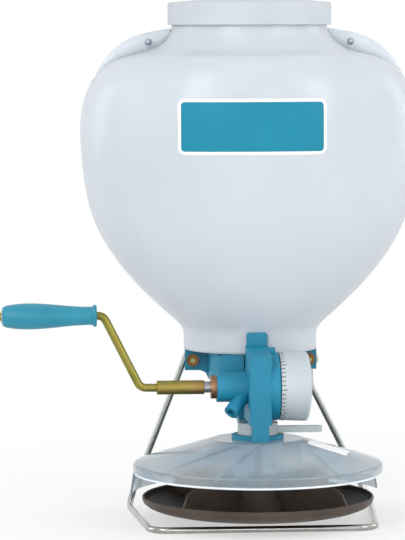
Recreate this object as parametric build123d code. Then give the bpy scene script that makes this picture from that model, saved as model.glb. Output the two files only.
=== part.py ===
from build123d import *
from math import atan2, cos, exp, hypot, pi, radians, sin
import os

os.makedirs("parts", exist_ok=True)

# Hand-cranked broadcast spreader with a translucent hopper on a wire stand.
# Origin: on the floor under the spinner axis. +X is the dial side, -X the crank side,
# +Y is towards the user, -Y the front, +Z up. Millimetres.

# Clearances
RUN_FIT = 0.05
PRESS_FIT = 0.02
FACE_GAP = 0.3
SEAT_GAP = 0.1
PART_ROOM = 1.5

# Main axes
AXIS_Z = 146.5
NECK_Y = 92.0

# Hopper
NECK_R = 73.0
NECK_BOTTOM = 179.0
NECK_TOP = 203.0
HOPPER_HALF_WIDTH = 184.0
HOPPER_FRONT = 122.0
HOPPER_REAR = 84.0
HOPPER_WALL = 2.4
HOPPER_WIDEST_Z = 389.0
DECK_Z = 530.0
MOUTH_R = 84.0
MOUTH_HEIGHT = 25.4
SECTION_POINTS = 24
HOPPER_STATIONS = 14
LOBE_VALLEY = 0.075
VALLEY_AT = 0.66
VALLEY_SPREAD = 0.15
REAR_HOLLOW = 0.20
HOLLOW_SPREAD = 0.42

# Strap tabs and studs
STRAP_X = 111.0
STRAP_Z = 515.5
TAB_THICKNESS = 5.0
STUD_HEAD_R = 3.8
STUD_SHANK_R = 2.2
EYE_HOLE_R = 3.5
EYE_OUTER_R = 6.5
EYE_THICKNESS = 4.0
EYE_SETBACK = 28.0
TAB_REACH = 63.0
TAB_DROP = 46.5
TAB_RISE = 15.0

# Lid
LID_SKIRT = 24.5
LID_SKIRT_WALL = 4.3
LID_WALL = 3.0
LID_DOME = 4.0
LID_DOME_SHARE = 0.6
LID_EDGE = 1.5
LID_PLAY = 1.2

# Hopper base, funnel and feed chute
SPIGOT_WALL = 2.5
BASE_FLOOR = 3.0
SKIRT_CORNER_X = 12.0
SKIRT_CORNER_FORE = 33.0
SKIRT_CORNER_INSET = 38.0
SKIRT_REAR = 118.0
SKIRT_BOTTOM = 147.0
CHUTE_Y = 71.5
CHUTE_HALF_X = 19.0
CHUTE_HALF_Y = 25.0
CHUTE_WALL = 3.0
CHUTE_TOP = 163.0
CHUTE_KNEE = 127.0
PORT_HALF_X = 13.0
PORT_HALF_Y = 14.0
PORT_BOTTOM = 104.0
EAR_OUTER_X = 72.5
EAR_FRONT_Y = 84.0
EAR_THICKNESS = 6.0
EAR_BOTTOM = 155.5
EAR_FILLET = 9.0
BOLT_X = 64.2
BOLT_Z = 166.5

# Gear train
MODULE = 1.6
CROWN_TEETH = 36
PINION_TEETH = 9
TOOTH_FACE = 7.0
CROWN_WEB = 4.0
CROWN_HUB_R = 11.0
PINION_HUB = 3.5
BACKLASH = 0.45
CROWN_ADDENDUM = 0.7
CROWN_DEDENDUM = 1.1
PINION_ADDENDUM = 0.75
PINION_DEDENDUM = 1.0
ROOT_OVERLAP = 0.4
CROWN_HUB = 3.1

# Gear case
CASE_WALL = 2.6
CASE_RIGHT_X = 12.5
CASE_FRONT_Y = -37.0
CASE_BOTTOM = 108.5
CASE_SHOULDER_Z = 182.5
CASE_ROOF_RISE = 6.5
CASE_REAR_WALL = 7.5
CASE_EDGE_R = 4.0
TAB_THICK = 4.0
RING_DEPTH = 8.5
REAR_STEP = 21.0
GEAR_CLEARANCE = 1.3
FLANGE_R = 36.5
COVER_DEPTH = 10.0
CAP_FACE = 4.0
CAP_EDGE = 1.5
CAP_SCREWS = 4
CAP_SCREW_DEPTH = 7.5
LUG_HALF_WIDTH = 4.0
LUG_RISE = 5.5
LUG_LENGTH = 6.0
TAB_HALF_WIDTH = 11.2
TAB_X = 0.9
TAB_CORNER = 3.0
TAB_TOP = 203.0
TUBE_R = 16.2
TUBE_END_X = -44.3
FOOT_HALF_WIDTH = 9.2
FOOT_DEPTH = 7.5
MOUNT_SCREW_X = -2.0
MOUNT_SCREW_RISE = 10.0
MOUNT_SCREW_DROP = 17.0
BOSS_R = 8.0
BOSS_HOLE_R = 4.2
BOSS_LENGTH = 25.0
BOSS_TILT = 39.0
BOSS_TURN = 45.0
BOSS_END_X = -30.5
BOSS_END_Y = -22.0
BOSS_END_Z = 121.0

# Crank
SHAFT_R = 6.0
SLEEVE_R = 7.5
SLEEVE_END_X = -57.5
SLEEVE_LENGTH = 51.0
SHAFT_IN_SLEEVE = 24.0
ROD_R = 4.35
CRANK_THROW = 78.0
ARM_FOOT_X = -126.0
ARM_HEAD_X = -165.4
ROD_BEND = 10.0
BUSH_FLANGE_R = 12.5
BUSH_FLANGE = 6.2
BUSH_R = 8.6
BUSH_LENGTH = 24.0
GRIP_START_X = -172.5
GRIP_LENGTH = 100.5
GRIP_MAX_R = 13.6
GRIP_WAIST_R = 9.8
GRIP_END_R = 11.4
GRIP_COLLAR = 2.0
GRIP_LIP = 5.0
PIN_R = 1.5
PIN_SETBACK = 11.0
SLEEVE_EDGE = 0.6
ROD_TAIL = 4.0
PUSH_NUT_R = 6.75
PUSH_NUT = 1.4

# Flow dial
DIAL_START_X = 23.0
DIAL_RIM_X = 50.5
DIAL_FACE_X = 58.0
DIAL_R = 37.5
DIAL_TAPER = 1.2
DIAL_WALL = 2.6
DIAL_BOSS_R = 9.0
DIAL_HUB_R = 13.0
DIAL_WEB = 3.4
DIAL_STUD_SETBACK = 4.0
DIAL_EDGE = 1.5
DIAL_SCREW_R = 2.0
DIAL_SCREW_DEPTH = 14.0
SCREW_HEAD_R = 4.6
SCREW_HEAD = 2.8
SCREW_SLOT = 1.2
DIAL_WASHER_R = 5.8
DIAL_WASHER = 1.0

# Lower bearing and shutter
BEARING_R = 14.5
SPINDLE_R = 4.0
SPINDLE_BUSH_R = 7.0
SPINDLE_BUSH_LENGTH = 7.0
LOWER_FLANGE_R = 28.0
LOWER_FLANGE = 4.2
COVER_SCREW_DEPTH = 7.0
SHUTTER_HUB_R = 21.5
SHUTTER_PLATE = 4.6
SHUTTER_REACH = 78.0
SHUTTER_OVERLAP = 3.5
LEVER_REACH = 69.5
LEVER_WIDTH = 9.0
LEVER_THICKNESS = 6.8

# Agitator
AGITATOR_R = 3.5
AGITATOR_BUSH_R = 5.6
PADDLE_R = 15.5
PADDLE_BLADE = 3.0
PADDLE_HUB = 3.0
PADDLE_PLAY = 4.0
SHAFT_TIP = 2.0

# Spinner and its cover
SPINNER_R = 124.5
SPINNER_BOTTOM = 12.4
SPINNER_WALL = 2.5
SPINNER_RIM_Z = 29.5
VANES = 4
FIRST_VANE = 45.0
VANE_TOP = 49.0
VANE_THICKNESS = 2.4
HUB_R = 30.0
HUB_TOP = 46.0
HUB_STEP_R = 36.0
HUB_STEP_Z = 27.0
HUB_BOSS_R = 9.0
NUT_POCKET = 8.0
SPINNER_FLAT_R = 82.0
DISH_RISE = 13.6
DISH_STEPS = 6
SPINNER_EDGE = 1.2
VANE_TIP_R = 115.0
VANE_TIP_Z = 42.0
VANE_ROUND = 15.0
VANE_TOE = 6.0
COVER_TOP = 91.0
COVER_FLAT_R = 48.0
COVER_R = 134.0
COVER_RIM_Z = 65.5
COVER_LIP_Z = 55.0
COVER_WALL = 2.2
COVER_RIBS = 12
COVER_RIB_HEIGHT = 2.6
GUARD_BOTTOM = 30.0
GUARD_FLARE = 4.0
GUARD_FROM = 14.0
GUARD_TO = 181.0
COVER_RIB_SWEEP = -38.0
FEED_PLAY = 2.0

# Stand
WIRE_R = 3.5
EYE_BEND_R = 8.0
REAR_X = 135.0
REAR_Y = 111.0
STAND_FRONT_X = 119.0
STAND_FRONT_Y = -72.0
CORNER_BEND = 20.0
LEG_BEND = 30.0
KINK_BEND = 120.0
LEFT_KINK = 14.0
RIGHT_KINK = 16.0
LEG_OFFSET = 2.0
NECK_BEND = 6.0
RIGHT_WRAP = 255.0

# Fasteners
M6_R = 3.0
M6_HEAD_R = 5.7
M6_HEAD = 4.0
M6_NUT = 5.0
M6_WASHER_R = 6.8
WASHER = 1.5
M3_R = 1.5
M3_HEAD_R = 2.7
M3_HEAD = 2.0
SPINNER_NUT_R = 7.5
SPINNER_NUT = 6.5
CLIP_R = 6.6
CLIP = 1.2


def cylinder(radius, start, end):
    direction = Vector(*end) - Vector(*start)
    plane = Plane(origin=start, z_dir=direction)
    return Part() + Solid.make_cylinder(radius, direction.length, plane)


def tube(outer, inner, start, end):
    return cylinder(outer, start, end) - cylinder(inner, start, end)


def turned_about_z(points, angle=360.0):
    face = make_face(Plane.XZ * Polyline(*points, close=True))
    return revolve(face, Axis.Z, angle)


def turned_about_x(points):
    face = make_face(Plane.XZ * Polyline(*points, close=True))
    return Pos(0, 0, AXIS_Z) * revolve(face, Axis.X, 360)


def hexagon_along_y(radius, start_y, end_y):
    plane = Plane(origin=(0, start_y, 0), x_dir=(1, 0, 0), z_dir=(0, 1, 0))
    return extrude(plane * RegularPolygon(radius, 6), end_y - start_y)


def slab(x0, x1, y0, y1, z0, z1):
    middle = Pos((x0 + x1) / 2, (y0 + y1) / 2, (z0 + z1) / 2)
    return middle * Box(abs(x1 - x0), abs(y1 - y0), abs(z1 - z0))


def both_sides(solid):
    return [solid, mirror(solid, Plane.YZ)]


def save(name, *solids):
    shape = solids[0] if len(solids) == 1 else Compound(children=list(solids))
    export_step(shape, "parts/" + name + ".step")


# Hopper shell: lofted kidney-shaped body between a round neck and a round mouth
swell = HOPPER_HALF_WIDTH - NECK_R
rise = HOPPER_WIDEST_Z - NECK_TOP
taper = HOPPER_HALF_WIDTH - MOUTH_R
drop = DECK_Z - HOPPER_WIDEST_Z
side_profile = Spline(
    (NECK_R, NECK_TOP),
    (NECK_R + swell * 0.432, NECK_TOP + rise * 0.237),
    (NECK_R + swell * 0.901, NECK_TOP + rise * 0.667),
    (HOPPER_HALF_WIDTH, HOPPER_WIDEST_Z),
    (MOUTH_R + taper * 0.91, DECK_Z - drop * 0.433),
    (MOUTH_R + taper * 0.68, DECK_Z - drop * 0.255),
    (MOUTH_R + taper * 0.31, DECK_Z - drop * 0.177),
    (MOUTH_R + taper * 0.08, DECK_Z - drop * 0.092),
    (MOUTH_R, DECK_Z),
)


def hopper_outline(z, half_width, front, rear, lobe, inset):
    points = []
    for i in range(SECTION_POINTS):
        angle = 2 * pi * i / SECTION_POINTS
        c, s = cos(angle), sin(angle)
        valley = LOBE_VALLEY * exp(-(((abs(c) - VALLEY_AT) / VALLEY_SPREAD) ** 2))
        hollow = REAR_HOLLOW * exp(-((c / HOLLOW_SPREAD) ** 2))
        depth = rear * (1 - lobe * hollow) if s > 0 else front * (1 - lobe * valley)
        points.append((c * (half_width - inset), NECK_Y + s * (depth - inset), z))
    return make_face(Spline(*points, periodic=True))


def hopper_body(inset):
    sections = []
    for i in range(HOPPER_STATIONS + 1):
        point = side_profile.position_at(i / HOPPER_STATIONS)
        end_r = NECK_R if point.Y < HOPPER_WIDEST_Z else MOUTH_R
        share = (point.X - end_r) / (HOPPER_HALF_WIDTH - end_r)
        front = end_r + share * (HOPPER_FRONT - end_r)
        rear = end_r + share * (HOPPER_REAR - end_r)
        sections.append(hopper_outline(point.Y, point.X, front, rear, share, inset))
    return loft(sections)


def strap_tab():
    start_x = MOUTH_R - HOPPER_WALL
    edge = Spline(
        (start_x, STRAP_Z + TAB_RISE),
        (STRAP_X, STRAP_Z + TAB_RISE * 0.72),
        (STRAP_X + TAB_REACH * 0.37, STRAP_Z + TAB_DROP * 0.05),
        (STRAP_X + TAB_REACH * 0.75, STRAP_Z - TAB_DROP * 0.40),
        (STRAP_X + TAB_REACH, STRAP_Z - TAB_DROP),
    )
    close = Polyline(edge @ 1, (start_x, STRAP_Z - TAB_DROP), edge @ 0)
    plane = Plane(origin=(0, NECK_Y + TAB_THICKNESS / 2, 0), x_dir=(1, 0, 0), z_dir=(0, -1, 0))
    return extrude(plane * make_face([edge, close]), TAB_THICKNESS)


def hopper_solid(inset):
    neck = hopper_outline(NECK_BOTTOM, NECK_R, NECK_R, NECK_R, 0, inset)
    mouth = hopper_outline(DECK_Z, MOUTH_R, MOUTH_R, MOUTH_R, 0, inset)
    body = hopper_body(inset)
    body += extrude(neck, NECK_TOP - NECK_BOTTOM)
    body += extrude(mouth, MOUTH_HEIGHT)
    return body


MOUTH_TOP = DECK_Z + MOUTH_HEIGHT
hopper = hopper_solid(0)
for tab in both_sides(strap_tab()):
    hopper += tab
hopper -= hopper_solid(HOPPER_WALL)
tab_front = NECK_Y - TAB_THICKNESS / 2
tab_rear = NECK_Y + TAB_THICKNESS / 2
stud_bore_r = STUD_SHANK_R + PRESS_FIT
stud_bore = cylinder(stud_bore_r, (STRAP_X, tab_front - 1, STRAP_Z), (STRAP_X, tab_rear + 1, STRAP_Z))
for bore in both_sides(stud_bore):
    hopper -= bore

# Strap studs: a domed head in front of each tab and a cross-drilled eye on the shank behind it
eye_y = tab_rear + EYE_SETBACK
head_back = tab_front - SEAT_GAP
stud = cylinder(STUD_SHANK_R, (STRAP_X, head_back, STRAP_Z), (STRAP_X, eye_y - EYE_HOLE_R - 1, STRAP_Z))
head_ball = Pos(STRAP_X, head_back, STRAP_Z) * Sphere(STUD_HEAD_R)
head_front = head_back - STUD_HEAD_R
stud += head_ball & slab(0, 2 * STRAP_X, head_front, head_back, 0, STRAP_Z + 2 * STUD_HEAD_R)
eye_left = (STRAP_X - EYE_THICKNESS / 2, eye_y, STRAP_Z)
eye_right = (STRAP_X + EYE_THICKNESS / 2, eye_y, STRAP_Z)
stud += cylinder(EYE_OUTER_R, eye_left, eye_right)
stud -= cylinder(EYE_HOLE_R, eye_left, eye_right)

# Lid: shallow cap with a plain skirt and a slightly domed top
lid_seat = MOUTH_TOP + SEAT_GAP
lid_inner = MOUTH_R + LID_PLAY
lid_r = lid_inner + LID_SKIRT_WALL
lid_shoulder = lid_seat + LID_WALL
lid_bottom = lid_shoulder - LID_SKIRT
lid_mid_r = lid_r * LID_DOME_SHARE
lid_mid_rise = LID_DOME * 0.75
lid_profile = [
    (0, lid_seat + LID_DOME),
    (lid_mid_r, lid_seat + lid_mid_rise),
    (MOUTH_R - HOPPER_WALL, lid_seat),
    (lid_inner, lid_seat),
    (lid_inner, lid_bottom),
    (lid_r, lid_bottom),
    (lid_r, lid_shoulder - LID_EDGE),
    (lid_r - LID_EDGE, lid_shoulder),
    (lid_mid_r, lid_shoulder + lid_mid_rise),
    (0, lid_shoulder + LID_DOME),
]
lid = Pos(0, NECK_Y, 0) * turned_about_z(lid_profile)

# Hopper base: spigot ring inside the neck, floor, funnel, feed chute, skirt and mounting ears
spigot_r = NECK_R - HOPPER_WALL - FACE_GAP
spigot_inner = spigot_r - SPIGOT_WALL
floor_high = NECK_BOTTOM + BASE_FLOOR
skirt_corner = NECK_R - SKIRT_CORNER_INSET
skirt_half = SKIRT_CORNER_X + skirt_corner
skirt_front = NECK_Y - SKIRT_CORNER_FORE - skirt_corner
ear_top = NECK_BOTTOM - SEAT_GAP
ear_rear = EAR_FRONT_Y + EAR_THICKNESS


def funnel(grow):
    top = Pos(0, NECK_Y, NECK_TOP) * Rectangle(2 * spigot_r + 2 * grow, 2 * spigot_r + 2 * grow)
    low = Pos(0, CHUTE_Y, CHUTE_TOP) * Rectangle(2 * (CHUTE_HALF_X + grow), 2 * (CHUTE_HALF_Y + grow))
    return loft([top, low], ruled=True)


def chute(grow):
    port_y = CHUTE_Y - CHUTE_HALF_Y + PORT_HALF_Y
    wide = Rectangle(2 * (CHUTE_HALF_X + grow), 2 * (CHUTE_HALF_Y + grow))
    port = Rectangle(2 * (PORT_HALF_X + grow), 2 * (PORT_HALF_Y + grow))
    upper = extrude(Pos(0, CHUTE_Y, CHUTE_KNEE) * wide, CHUTE_TOP - CHUTE_KNEE)
    lower = loft([Pos(0, CHUTE_Y, CHUTE_KNEE) * wide, Pos(0, port_y, PORT_BOTTOM) * port], ruled=True)
    return upper + lower


def skirt(inset, top):
    width = 2 * (skirt_half - inset)
    depth = SKIRT_REAR - skirt_front - 2 * inset
    middle = Pos(0, (skirt_front + SKIRT_REAR) / 2, SKIRT_BOTTOM)
    block = extrude(middle * RectangleRounded(width, depth, skirt_corner - inset), top - SKIRT_BOTTOM)
    dial_room = DIAL_R + PART_ROOM + inset
    return block - cylinder(dial_room, (-CASE_RIGHT_X, 0, AXIS_Z), (DIAL_FACE_X, 0, AXIS_Z))


def ear_web():
    chute_side = CHUTE_HALF_X + CHUTE_WALL - 1
    points = [
        (chute_side, ear_top),
        (EAR_OUTER_X, ear_top),
        (EAR_OUTER_X, EAR_BOTTOM),
        (skirt_half + EAR_FILLET, EAR_BOTTOM),
        (skirt_half + EAR_FILLET * 0.3, EAR_BOTTOM - EAR_FILLET * 0.3),
        (skirt_half, EAR_BOTTOM - EAR_FILLET),
        (chute_side, EAR_BOTTOM - EAR_FILLET),
    ]
    plane = Plane(origin=(0, ear_rear, 0), x_dir=(1, 0, 0), z_dir=(0, -1, 0))
    web = extrude(plane * make_face(Polyline(*points, close=True)), EAR_THICKNESS)
    web -= cylinder(M6_R + FACE_GAP, (BOLT_X, EAR_FRONT_Y - 1, BOLT_Z), (BOLT_X, ear_rear + 1, BOLT_Z))
    return web


neck_high = (0, NECK_Y, NECK_TOP)
skirt_wall = skirt(0, floor_high) - skirt(CHUTE_WALL, NECK_BOTTOM)
base = cylinder(spigot_r, (0, NECK_Y, NECK_BOTTOM), neck_high)
base -= cylinder(spigot_inner, (0, NECK_Y, floor_high), neck_high)
base += skirt_wall & cylinder(spigot_r, (0, NECK_Y, SKIRT_BOTTOM), neck_high)
base += funnel(CHUTE_WALL) & cylinder(spigot_r, (0, NECK_Y, CHUTE_TOP), neck_high)
base += chute(CHUTE_WALL)
for web in both_sides(ear_web()):
    base += web
base -= funnel(0) & cylinder(spigot_inner, (0, NECK_Y, CHUTE_TOP - 1), neck_high)
base -= chute(0)
wire_y = ear_rear + SEAT_GAP + WIRE_R

# Gear sizes: straight bevel pair, the crown on the crank shaft and two pinions
pinion_pitch_r = MODULE * PINION_TEETH / 2
crown_pitch_r = MODULE * CROWN_TEETH / 2
cone_length = hypot(pinion_pitch_r, crown_pitch_r)
small_end = (cone_length - TOOTH_FACE) / cone_length
crown_outer_r = crown_pitch_r + MODULE * 0.3
tooth_half = (pi * MODULE / 2 - BACKLASH) / 2


def bevel_gear(teeth, mate_teeth, addendum, dedendum, tip_share, root_share, bore, back, hub_r, hub_back):
    cone = atan2(teeth, mate_teeth)
    along = Vector(sin(cone), 0, cos(cone))
    outward = Vector(cos(cone), 0, -sin(cone))
    sideways = Vector(0, 1, 0)
    pitch_point = along * cone_length

    def tooth_face(scale):
        corners = []
        for height, share, side in (
            (-dedendum - MODULE * ROOT_OVERLAP, root_share, -1),
            (0, 1, -1),
            (addendum, tip_share, -1),
            (addendum, tip_share, 1),
            (0, 1, 1),
            (-dedendum - MODULE * ROOT_OVERLAP, root_share, 1),
        ):
            point = pitch_point + outward * height + sideways * (side * share * tooth_half)
            corners.append(point * scale)
        return make_face(Polyline(*corners, close=True))

    root = pitch_point - outward * dedendum
    tooth = loft([tooth_face(1), tooth_face(small_end)], ruled=True)
    blank = turned_about_z(
        [
            (bore, root.Z * small_end),
            (root.X * small_end, root.Z * small_end),
            (root.X, root.Z),
            (root.X, back),
            (hub_r, back),
            (hub_r, hub_back),
            (bore, hub_back),
        ]
    )
    gear_teeth = [Rot(0, 0, 360 * i / teeth) * tooth for i in range(teeth)]
    return blank + gear_teeth - cylinder(bore, (0, 0, 0), (0, 0, hub_back))


apex = Vector(0, 0, AXIS_Z)
crown_back = pinion_pitch_r + MODULE + CROWN_WEB
crown_hub_back = CASE_RIGHT_X + CROWN_HUB
half_tooth = 180 / CROWN_TEETH
crown_place = Plane(origin=apex, x_dir=(0, 0, 1), z_dir=(1, 0, 0)).location * Rot(0, 0, half_tooth)
crown = crown_place * bevel_gear(
    CROWN_TEETH, PINION_TEETH, MODULE * CROWN_ADDENDUM, MODULE * CROWN_DEDENDUM, 0.55, 1.3,
    SHAFT_R + PRESS_FIT, crown_back, CROWN_HUB_R, crown_hub_back,
)
pinion_back = crown_pitch_r + MODULE * ROOT_OVERLAP
pinion_hub_back = pinion_back + PINION_HUB
spindle_pinion_place = Plane(origin=apex, x_dir=(1, 0, 0), z_dir=(0, 0, -1)).location
spindle_pinion = spindle_pinion_place * bevel_gear(
    PINION_TEETH, CROWN_TEETH, MODULE * PINION_ADDENDUM, MODULE * PINION_DEDENDUM, 0.42, 0.9,
    SPINDLE_R + PRESS_FIT, pinion_back, pinion_pitch_r, pinion_hub_back,
)
agitator_pinion_place = Plane(origin=apex, x_dir=(1, 0, 0), z_dir=(0, 1, 0)).location
agitator_pinion = agitator_pinion_place * bevel_gear(
    PINION_TEETH, CROWN_TEETH, MODULE * PINION_ADDENDUM, MODULE * PINION_DEDENDUM, 0.42, 0.9,
    AGITATOR_R + PRESS_FIT, pinion_back, pinion_pitch_r, pinion_hub_back,
)

# Gear case: narrow box with a bearing tube, a tab on the neck, a foot and a spigot for the lower bearing
cavity_r = crown_outer_r + GEAR_CLEARANCE
case_left_inner = -(pinion_pitch_r + MODULE * PINION_ADDENDUM + GEAR_CLEARANCE / 2)
case_left = case_left_inner - CASE_WALL
case_rear = CHUTE_Y - CHUTE_HALF_Y - CHUTE_WALL - SEAT_GAP
neck_front = NECK_Y - NECK_R - FACE_GAP
tab_y = neck_front - TAB_THICK
roof_z = CASE_SHOULDER_Z + CASE_ROOF_RISE
lower_flange_top = COVER_TOP + SEAT_GAP + LOWER_FLANGE
spigot_bottom = lower_flange_top + SEAT_GAP


def case_profile(inset, rear_inset):
    return [
        (CASE_FRONT_Y + inset, CASE_BOTTOM + inset),
        (CASE_FRONT_Y + inset, CASE_SHOULDER_Z - inset),
        (tab_y, roof_z - inset),
        (neck_front - inset, roof_z - inset),
        (neck_front - inset, AXIS_Z + REAR_STEP - inset),
        (case_rear - rear_inset, CHUTE_TOP - CHUTE_WALL - inset),
        (case_rear - rear_inset, CASE_BOTTOM + inset),
    ]


def along_x(points, start_x, end_x):
    plane = Plane(origin=(start_x, 0, 0), x_dir=(0, 1, 0), z_dir=(1, 0, 0))
    return extrude(plane * make_face(Polyline(*points, close=True)), end_x - start_x)


def gear_case():
    body = along_x(case_profile(0, 0), case_left, CASE_RIGHT_X)
    front_edges = body.edges().filter_by(Axis.Z).sort_by(Axis.Y)[:2]
    body = fillet(front_edges, CASE_EDGE_R)
    tab_low = roof_z - CASE_WALL
    tab = slab(TAB_X - TAB_HALF_WIDTH, TAB_X + TAB_HALF_WIDTH, tab_y, neck_front, tab_low, TAB_TOP)
    body += fillet(tab.edges().filter_by(Axis.Y).sort_by(Axis.Z)[-2:], TAB_CORNER)
    body += cylinder(FLANGE_R, (CASE_RIGHT_X - RING_DEPTH, 0, AXIS_Z), (CASE_RIGHT_X, 0, AXIS_Z))
    body += cylinder(TUBE_R, (TUBE_END_X, 0, AXIS_Z), (case_left + 1, 0, AXIS_Z))
    foot_rear = CASE_FRONT_Y + FOOT_DEPTH
    foot_low = COVER_TOP + SEAT_GAP
    floor_top_z = CASE_BOTTOM + CASE_WALL
    body += slab(-FOOT_HALF_WIDTH, FOOT_HALF_WIDTH, CASE_FRONT_Y, foot_rear, foot_low, floor_top_z)
    body += cylinder(BEARING_R, (0, 0, spigot_bottom), (0, 0, CASE_BOTTOM + 0.5))
    tilt, turn = radians(BOSS_TILT), radians(BOSS_TURN)
    boss_end = Vector(BOSS_END_X, BOSS_END_Y, BOSS_END_Z)
    boss_dir = Vector(cos(tilt) * cos(turn), cos(tilt) * sin(turn), sin(tilt))
    body += cylinder(BOSS_R, tuple(boss_end), tuple(boss_end + boss_dir * BOSS_LENGTH))
    body -= cylinder(BOSS_HOLE_R, tuple(boss_end), tuple(boss_end + boss_dir * (BOSS_LENGTH / 2)))
    body -= along_x(case_profile(CASE_WALL, CASE_REAR_WALL), case_left_inner, CASE_RIGHT_X - CASE_WALL)
    body -= cylinder(cavity_r, (case_left_inner, 0, AXIS_Z), (CASE_RIGHT_X, 0, AXIS_Z))
    body -= cylinder(BUSH_R + PRESS_FIT, (TUBE_END_X, 0, AXIS_Z), (case_left_inner, 0, AXIS_Z))
    body -= cylinder(SPINDLE_BUSH_R + PRESS_FIT, (0, 0, spigot_bottom), (0, 0, floor_top_z))
    body -= cylinder(AGITATOR_BUSH_R + PRESS_FIT, (0, cavity_r, AXIS_Z), (0, case_rear, AXIS_Z))
    return body


cover_screw_r = (cavity_r + FLANGE_R) / 2
cap_start = CASE_RIGHT_X + SEAT_GAP
cap_end = CASE_RIGHT_X + COVER_DEPTH
cap_inner = cap_end - CAP_FACE


def around_axis(radius, count, first):
    spots = []
    for i in range(count):
        angle = radians(first + 360 * i / count)
        spots.append((radius * cos(angle), AXIS_Z + radius * sin(angle)))
    return spots


cap_screw_spots = around_axis(cover_screw_r, CAP_SCREWS, 45)
case = gear_case()
case_room = case_profile(-FACE_GAP, -SEAT_GAP)
base -= along_x(case_room, case_left - FACE_GAP, CASE_RIGHT_X + FACE_GAP)
for y, z in cap_screw_spots:
    case -= cylinder(M3_R + PRESS_FIT, (CASE_RIGHT_X - CAP_SCREW_DEPTH, y, z), (CASE_RIGHT_X, y, z))

# Screws that hold the gear case to the front wall of the chute
mount_screw_spots = (
    (MOUNT_SCREW_X, CASE_BOTTOM + MOUNT_SCREW_RISE),
    (MOUNT_SCREW_X, AXIS_Z - MOUNT_SCREW_DROP),
)
mount_head_y = case_rear - CASE_REAR_WALL
chute_inside_y = case_rear + SEAT_GAP + CHUTE_WALL
mount_tip_y = chute_inside_y - FACE_GAP
mount_screws = []
for x, z in mount_screw_spots:
    case -= cylinder(M3_R + FACE_GAP, (x, mount_head_y - 1, z), (x, case_rear + 1, z))
    base -= cylinder(M3_R + PRESS_FIT, (x, case_rear, z), (x, mount_tip_y + 0.1, z))
    screw = cylinder(M3_R, (x, mount_head_y - SEAT_GAP, z), (x, mount_tip_y, z))
    head_y = mount_head_y - SEAT_GAP
    screw += cylinder(M3_HEAD_R, (x, head_y - M3_HEAD, z), (x, head_y, z))
    mount_screws.append(screw)
base -= cylinder(AGITATOR_BUSH_R + PRESS_FIT, (0, case_rear, AXIS_Z), (0, chute_inside_y + 1, AXIS_Z))

# Case cover: round cap with the shaft's end bearing, an index lug and the stud that carries the dial
shaft_end_x = cap_end - CAP_FACE / 2
dial_boss_end = DIAL_RIM_X - DIAL_STUD_SETBACK
hub_room_x = crown_hub_back + 2 * FACE_GAP
hub_room_r = SHAFT_R + CAP_FACE
cap = turned_about_x(
    [
        (cap_start, cavity_r),
        (cap_start, FLANGE_R),
        (cap_end - CAP_EDGE, FLANGE_R),
        (cap_end, FLANGE_R - CAP_EDGE),
        (cap_end, DIAL_BOSS_R),
        (dial_boss_end, DIAL_BOSS_R),
        (dial_boss_end, 0),
        (shaft_end_x + FACE_GAP, 0),
        (shaft_end_x + FACE_GAP, SHAFT_R + RUN_FIT),
        (hub_room_x, SHAFT_R + RUN_FIT),
        (hub_room_x, hub_room_r),
        (cap_inner, hub_room_r),
        (cap_inner, cavity_r),
    ]
)
lug_top = AXIS_Z + FLANGE_R + LUG_RISE
cap += slab(cap_start, cap_start + LUG_LENGTH, -LUG_HALF_WIDTH, LUG_HALF_WIDTH, AXIS_Z + cavity_r, lug_top)
cap_screws = []
head_seat = cap_end - M3_HEAD - CAP_EDGE / 2
for y, z in cap_screw_spots:
    cap -= cylinder(M3_R + FACE_GAP, (cap_start - 1, y, z), (cap_end, y, z))
    cap -= cylinder(M3_HEAD_R + FACE_GAP, (head_seat, y, z), (cap_end + 1, y, z))
    screw = cylinder(M3_R, (CASE_RIGHT_X - CAP_SCREW_DEPTH + FACE_GAP, y, z), (head_seat + SEAT_GAP, y, z))
    head_x = head_seat + SEAT_GAP
    screw += cylinder(M3_HEAD_R, (head_x, y, z), (head_x + M3_HEAD, y, z))
    cap_screws.append(screw)
dial_screw_x = dial_boss_end - DIAL_SCREW_DEPTH
cap -= cylinder(DIAL_SCREW_R + PRESS_FIT, (dial_screw_x, 0, AXIS_Z), (dial_boss_end, 0, AXIS_Z))

# Flow dial: tapered cup with a domed face, turning on the cover's stud
dial_floor = dial_boss_end + FACE_GAP + DIAL_WEB
dial_recess_r = DIAL_WASHER_R + DIAL_EDGE
dome_mid_r = DIAL_R * 0.62
dome_x = DIAL_FACE_X - DIAL_EDGE
dial = turned_about_x(
    [
        (DIAL_START_X, DIAL_R - DIAL_TAPER),
        (DIAL_RIM_X, DIAL_R),
        (DIAL_RIM_X + DIAL_EDGE * 1.3, DIAL_R - DIAL_EDGE * 0.5),
        (DIAL_RIM_X + DIAL_EDGE * 2.3, DIAL_R - DIAL_EDGE * 2),
        (dome_x, dome_mid_r),
        (DIAL_FACE_X, dial_recess_r + DIAL_EDGE),
        (DIAL_FACE_X, dial_recess_r),
        (dial_floor, dial_recess_r),
        (dial_floor, DIAL_SCREW_R + FACE_GAP),
        (dial_floor - DIAL_WEB, DIAL_SCREW_R + FACE_GAP),
        (dial_floor - DIAL_WEB, DIAL_BOSS_R + RUN_FIT),
        (DIAL_START_X, DIAL_BOSS_R + RUN_FIT),
        (DIAL_START_X, DIAL_HUB_R),
        (dome_x - DIAL_WALL, DIAL_HUB_R),
        (dome_x - DIAL_WALL, dome_mid_r),
        (DIAL_RIM_X + DIAL_EDGE * 0.7, DIAL_R - DIAL_WALL - DIAL_EDGE),
        (DIAL_START_X, DIAL_R - DIAL_TAPER - DIAL_WALL),
    ]
)
washer_x = dial_floor + SEAT_GAP
washer_front = washer_x + DIAL_WASHER
washer_hole_r = DIAL_SCREW_R + FACE_GAP
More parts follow.
